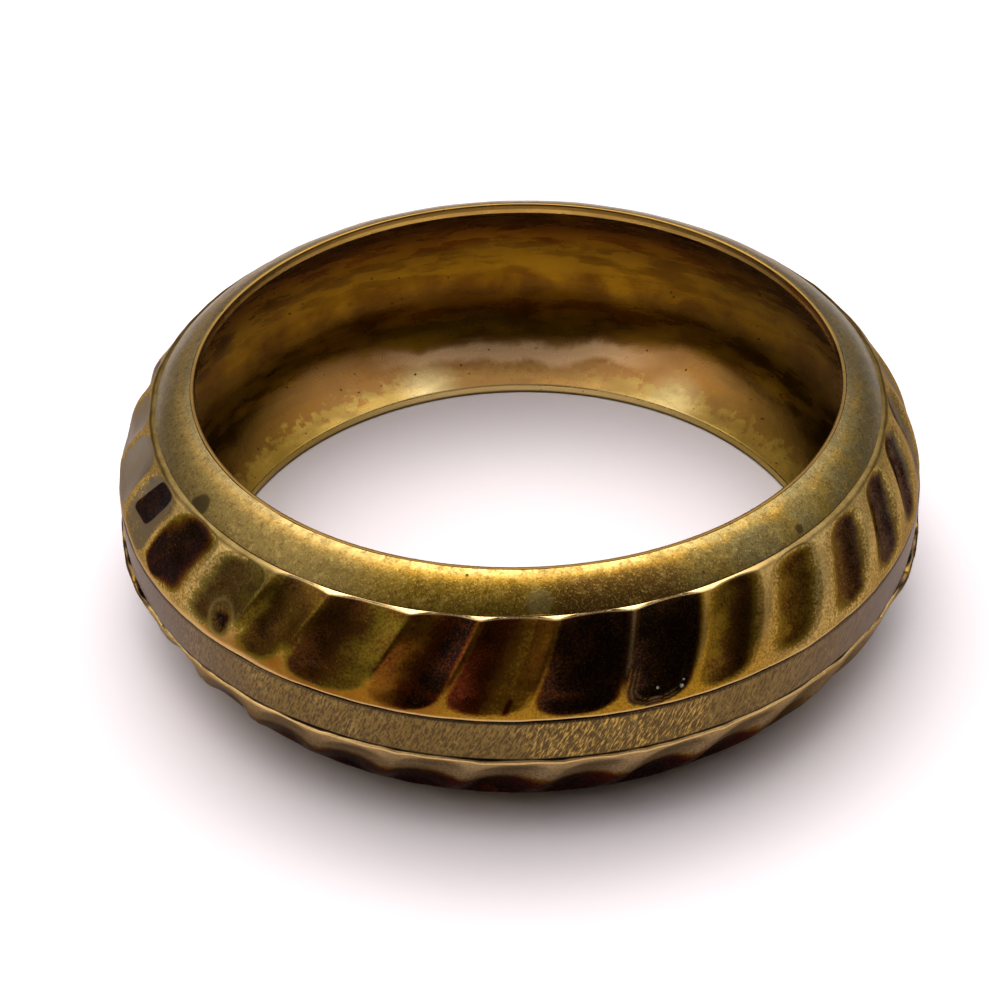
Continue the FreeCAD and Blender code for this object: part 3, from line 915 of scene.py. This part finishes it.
def liner_brass(n):
    """Smooth brass in bands, many of them painted light and shade: a brown wall, a coppery cove below
    it, and pale lips.
    """
    where, angle, height = n.place()
    cloud = n.noise(where, 0.16, 4.0, 0.55, 0.3)
    smudge = n.noise(n.scale(where, (0.4, 0.4, 1.6)), 0.5, 3.5, 0.50, 0.1)
    grain = n.noise(where, 4.0, 4.0, 0.65)
    pits = n.noise(where, 1.6, 1.0, 0.4)
    away = n.size(angle)

    # The wall, with a painted bright reflection above its middle and a painted dark one below.
    level = n.add(height, n.mul(n.less(cloud, 0.5), 3.0))
    colour = n.mix(n.step(0.35, 0.65, cloud), (0.155, 0.064, 0.002), (0.29, 0.150, 0.004))
    streak = n.mix(n.step(0.36, 0.62, smudge), (0.22, 0.105, 0.003), (0.50, 0.28, 0.008))
    colour = n.mix(n.mul(n.window(level, MID + 3.2, 2.2, 2.4), 0.55), colour, streak)
    dark_reflection_band = n.mul(n.window(level, MID - 4.0, 1.4, 1.6), 0.45)
    colour = n.mix(dark_reflection_band, colour, (0.065, 0.032, 0.003))

    # The cove: coppery and painted lit at the back, with bare metal at its foot, two painted
    # highlights and a painted reflection along its top edge, and in painted shade elsewhere.
    # Its top edge is higher away from the back.
    level = n.less(level, n.step(174.0, 140.0, away, 0.0, 1.5))
    cove = n.step(5.3, 3.9, level)
    behind = n.step(122.0, 168.0, away)
    peel = n.add(height, n.mul(n.less(n.noise(where, 0.9, 4.0, 0.6), 0.5), 6.0))
    bare = n.mul(n.step(2.7, 1.9, peel), n.step(174.0, 150.0, away, 0.25, 0.85))
    lit_cove = n.mix(n.step(0.30, 0.70, smudge), (0.48, 0.240, 0.070), (0.64, 0.350, 0.13))
    lit_cove = n.mix(bare, lit_cove, (0.66, 0.47, 0.15))
    spot_highlights = n.mul(n.near_any(where, LINER_PAINTED_HIGHLIGHTS), 0.8)
    lit_cove = n.mix(spot_highlights, lit_cove, (0.98, 0.80, 0.40))
    edge_reflection = n.mul(n.window(level, 3.6, 0.30, 0.8), n.step(148.0, 166.0, away, 0.0, 0.85))
    lit_cove = n.mix(edge_reflection, lit_cove, (1.0, 0.66, 0.36))
    shaded = n.mix(bare, (0.115, 0.058, 0.007), (0.185, 0.120, 0.018))
    colour = n.mix(cove, colour, n.mix(behind, shaded, lit_cove))

    # Smudges, and painted shade in a stretch at the right.
    patchy = n.mul(n.step(0.42, 0.68, smudge), n.step(0.0, 1.0, cove, 0.35, 0.10))
    colour = n.mix(patchy, colour, (0.30, 0.155, 0.014))
    colour = n.mix(n.mul(n.window(angle, 105.0, 30.0, 25.0), 0.40), colour, (0.07, 0.04, 0.004))

    # The lips: the upper one is two-toned away from the front. The lower one is pale, with a
    # painted highlight at the back, and dark along its bottom edge. Then pits, all over.
    from_rim = n.math("MINIMUM", height, n.less(WIDTH, height))
    lip = n.step(LIP_HEIGHT + 0.15, LIP_HEIGHT - 0.1, from_rim)
    low_lip = n.mix(behind, (0.50, 0.36, 0.09), (0.98, 0.78, 0.36))
    near_rim = n.step(WIDTH - 0.70, WIDTH - 0.50, height)
    high_lip = n.mix(near_rim, (0.62, 0.42, 0.12), (0.26, 0.165, 0.045))
    high_lip = n.mix(n.step(70.0, 110.0, away), (0.20, 0.120, 0.032), high_lip)
    lips = n.mix(n.step(MID, MID - 1.0, height), high_lip, low_lip)
    lips = n.mix(n.step(0.50, 0.20, height), lips, (0.11, 0.068, 0.012))
    colour = n.mix(n.mul(lip, 0.85), colour, lips)
    colour = n.mix(n.step(0.74, 0.80, pits), colour, (0.03, 0.012, 0.004))
    rough = n.add(n.step(0.3, 0.7, smudge, 0.16, 0.32), n.mul(grain, 0.08))
    return colour, rough, n.add(n.mul(cloud, 0.05), n.mul(grain, 0.01))


def solder_metal(n):
    """Dull, nearly black filler."""
    grain = n.noise(n.place()[0], 4.0, 3.0)
    return n.mix(grain, (0.02, 0.012, 0.008), (0.08, 0.05, 0.03)), 0.5, n.mul(grain, 0.03)


FINISHES = {
    "fluted_brass": metal("fluted_brass", fluted_brass, edge=(0.42, 0.36, 0.30)),
    "collar_brass": metal("collar_brass", collar_brass, 0.2, 0.2),
    "belt_brass": metal("belt_brass", belt_brass, 0.15, 0.3, (0.75, 0.68, 0.62)),
    "liner_brass": metal("liner_brass", liner_brass, 0.08),
    "solder": metal("solder", solder_metal, 0.0),
}

for piece, node, slot in (
        (upper_band, "upper_fluted_band", "fluted_brass"),
        (lower_band, "lower_fluted_band", "fluted_brass"),
        (upper_collar, "upper_collar", "collar_brass"),
        (lower_collar, "lower_collar", "collar_brass"),
        (belt, "centre_belt", "belt_brass"),
        (liner, "inner_liner", "liner_brass")):
    piece.data.materials.append(FINISHES[slot])
    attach(piece, "root")
    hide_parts(node)

for name, node in frame["nodes"].items():
    if name.endswith("_solder"):
        for slot in node.material_slots:
            slot.material = FINISHES["solder"]


# ------------------------------------------------------------------ stage and light
FLOOR_REACH = 3.0   # metres
FLOOR_COLOUR = (0.88, 0.825, 0.83, 1)
TENT_WHITE = (1.0, 0.985, 1.0, 1)
# Soft round lights: direction, tightness and strength, on an even ground. The metal mirrors
# the first set. The second lights what is matt, which here is only the floor.
REFLECTED = [((-0.30, 0.42, 0.86), 12, 4.2), ((0.28, 0.42, 0.86), 12, 3.8),
             ((-0.82, -0.14, 0.56), 11, 2.3), ((0.80, -0.02, 0.60), 11, 1.5),
             ((0.0, 1.0, 0.0), 2, 0.3), ((0.0, 0.0, 1.0), 3, 0.36)]
REFLECTED_EVEN = 0.11
CAST = [((0.0, -0.25, 0.97), 20, 2.9), ((-0.25, -0.10, 0.96), 20, 3.3), ((0.25, -0.10, 0.96), 20, 1.3)]
CAST_EVEN = 0.0


def white_floor():
    """A wide pale sheet under the bangle."""
    corners = [(-FLOOR_REACH, -FLOOR_REACH, 0), (FLOOR_REACH, -FLOOR_REACH, 0),
               (FLOOR_REACH, FLOOR_REACH, 0), (-FLOOR_REACH, FLOOR_REACH, 0)]
    mesh = bpy.data.meshes.new("floor")
    mesh.from_pydata(corners, [], [(0, 1, 2, 3)])
    floor = bpy.data.objects.new("floor", mesh)
    bpy.context.scene.collection.objects.link(floor)
    material = bpy.data.materials.new("white_sheet")
    material.use_nodes = True
    n = Nodes(material.node_tree)
    shader = n.make("ShaderNodeBsdfPrincipled", {"Base Color": FLOOR_COLOUR, "Roughness": 0.8})
    output = n.make("ShaderNodeOutputMaterial")
    material.node_tree.links.new(shader.outputs[0], output.inputs[0])
    mesh.materials.append(material)


def lobes(n, ray, lights, even):
    """Brightness of the world towards a direction: soft round lights on an even ground."""
    total = even
    for direction, tightness, strength in lights:
        unit = tuple(Vector(direction).normalized())
        facing = n.make("ShaderNodeVectorMath", {0: ray, 1: unit}, operation="DOT_PRODUCT")
        glow = n.math("POWER", n.most(facing.outputs["Value"], 0.0), float(tightness))
        total = n.math("MULTIPLY_ADD", glow, strength, total)
    return total


def studio_light():
    """Bright towards the back and both sides to the metal, overhead to the floor, and plain
    white to the camera."""
    world = bpy.data.worlds.new("tent")
    bpy.context.scene.world = world
    world.use_nodes = True
    n = Nodes(world.node_tree)
    ray = n.make("ShaderNodeTexCoord").outputs["Generated"]
    path = n.make("ShaderNodeLightPath").outputs
    cast = n.make("ShaderNodeBackground", {"Color": TENT_WHITE,
                                           "Strength": lobes(n, ray, CAST, CAST_EVEN)})
    seen = n.make("ShaderNodeBackground", {"Color": TENT_WHITE,
                                           "Strength": lobes(n, ray, REFLECTED, REFLECTED_EVEN)})
    plain = n.make("ShaderNodeBackground", {"Color": (1, 1, 1, 1), "Strength": 1.0})
    lit = n.make("ShaderNodeMixShader", {0: path["Is Diffuse Ray"], 1: seen.outputs[0],
                                         2: cast.outputs[0]})
    both = n.make("ShaderNodeMixShader", {0: path["Is Camera Ray"], 1: lit.outputs[0],
                                          2: plain.outputs[0]})
    output = n.make("ShaderNodeOutputWorld")
    world.node_tree.links.new(both.outputs[0], output.inputs[0])


# ------------------------------------------------------------------ camera
# Fitted to the outlines of the rims in the photograph: millimetres, then degrees.
CAMERA_DISTANCE = 203.54
ELEVATION = 36.507
PAN, TILT, ROLL = 0.556, -0.993, 0.848
LENS, SENSOR = 71.37, 36.0


def rotated(vector, axis, degrees):
    """A vector turned about an axis by the right-hand rule."""
    return Quaternion(axis, math.radians(degrees)) @ vector


def photo_camera():
    """A camera at the photograph's viewing angle, above and in front of the bangle."""
    up_angle = math.radians(ELEVATION)
    offset = Vector((0, -math.cos(up_angle), math.sin(up_angle))) * CAMERA_DISTANCE
    ahead = -offset.normalized()
    right = Vector((1, 0, 0))
    up = right.cross(ahead)
    ahead, right = rotated(ahead, up, PAN), rotated(right, up, PAN)
    ahead, up = rotated(ahead, right, TILT), rotated(up, right, TILT)
    right, up = rotated(right, ahead, ROLL), rotated(up, ahead, ROLL)
    data = bpy.data.cameras.new("camera")
    data.lens, data.sensor_width = LENS, SENSOR
    data.clip_start, data.clip_end = 0.01, 20.0
    camera = bpy.data.objects.new("camera", data)
    camera.location = (offset + Vector((0, 0, MID))) * MM
    camera.rotation_mode = "QUATERNION"
    camera.rotation_quaternion = Matrix((right, up, -ahead)).transposed().to_quaternion()
    bpy.context.scene.collection.objects.link(camera)
    bpy.context.scene.camera = camera


white_floor()
studio_light()
photo_camera()
bpy.context.scene.view_settings.view_transform = "Standard"
bpy.context.scene.view_settings.gamma = 0.85
